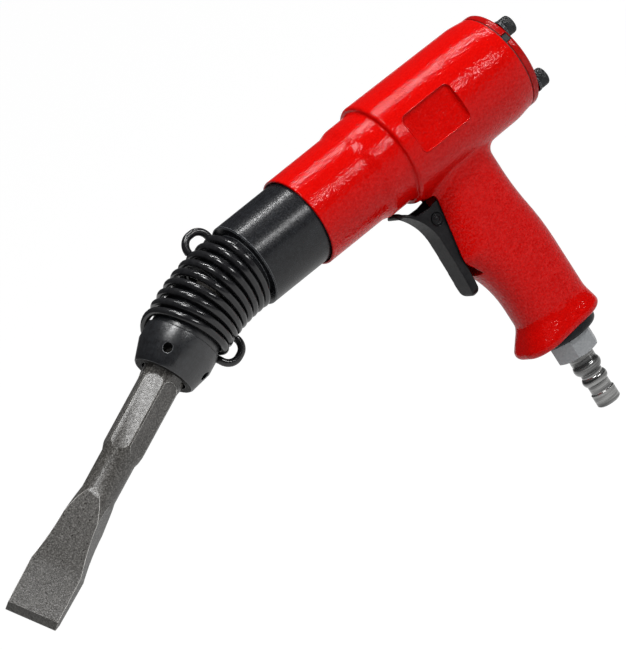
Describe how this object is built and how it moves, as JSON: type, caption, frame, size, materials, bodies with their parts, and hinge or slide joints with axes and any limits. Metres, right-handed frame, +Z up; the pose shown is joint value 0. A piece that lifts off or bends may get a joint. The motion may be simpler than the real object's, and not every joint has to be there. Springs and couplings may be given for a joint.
{
  "type": "pneumatic chisel",
  "caption": "Pistol grip pneumatic chisel: red cast housing, black cylinder tube, coil retaining spring with finger loops, stepped nose, forged flat chisel, trigger and hose plug.",
  "frame": {"origin": "centre of the pistol grip, where the hand holds it, on the middle plane", "axes": "+X forward along the barrel towards the chisel, +Y to the tool's left, +Z up, hose plug pointing along -Z"},
  "size_m": [0.396, 0.06, 0.2059],
  "materials": {
    "red_paint": "gloss baked paint on a casting, fine orange peel",
    "black_oxide": "turned steel, satin black oxide",
    "black_wire": "spring wire with a gloss black coat",
    "forged_steel": "forged and blasted tool steel, grainy grey brown",
    "black_coat": "satin black powder coat",
    "plated_steel": "zinc plated turned steel, bright satin",
    "bright_steel": "ground and hardened steel",
    "bronze": "machined bearing bronze",
    "seal_rubber": "matt oil-proof rubber sheet"
  },
  "bodies": {
    "tool": {"housing": "red_paint", "rear_cover": "red_paint", "rear_gasket": "seal_rubber", "cover_screws": "black_oxide", "spring_washers": "black_oxide", "cylinder": "black_oxide", "front_bush": "bronze", "valve_cap": "bright_steel", "valve_seat": "bright_steel", "dowel_pin": "bright_steel", "retaining_spring": "black_wire", "trigger_pin": "bright_steel", "throttle_bush": "bronze", "throttle_spring": "bright_steel", "inlet_bush": "black_oxide", "inlet_screen": "bright_steel", "air_plug": "plated_steel"},
    "piston": {"piston": "bright_steel"},
    "valve_plate": {"valve_plate": "bright_steel"},
    "nose": {"nose": "black_oxide"},
    "chisel": {"chisel": "forged_steel"},
    "trigger": {"trigger": "black_coat"},
    "throttle": {"throttle_stem": "bright_steel", "poppet_seal": "seal_rubber"}
  },
  "joints": [
    {"name": "trigger_pivot", "type": "hinge", "parent": "tool", "child": "trigger", "pos_m": [0.0298, 0, 0.038], "axis": [0, 1, 0], "range_deg": [0, 6], "stiffness_Nm_per_rad": 0.27, "springref_deg": -12.38},
    {"name": "throttle_slide", "type": "slide", "parent": "tool", "child": "throttle", "axis": [-1, 0, 0], "range_m": [0, 0.002], "deforming": ["throttle_spring"]},
    {"name": "piston_slide", "type": "slide", "parent": "tool", "child": "piston", "axis": [1, 0, 0], "range_m": [0, 0.078]},
    {"name": "valve_slide", "type": "slide", "parent": "tool", "child": "valve_plate", "axis": [1, 0, 0], "range_m": [0, 0.001]},
    {"name": "nose_tilt", "type": "hinge", "parent": "tool", "child": "nose", "pos_m": [0.1565, 0, 0.08], "axis": [0, -1, 0], "range_deg": [0, 22.5], "stiffness_Nm_per_rad": 3, "deforming": ["retaining_spring"]},
    {"name": "chisel_slide", "type": "slide", "parent": "nose", "child": "chisel", "axis": [-0.9239, 0, 0.3827], "range_m": [0, 0.006]}
  ],
  "couplings": [
    {"joint": "throttle_slide", "follows": "trigger_pivot", "m_per_rad": 0.0185}
  ]
}
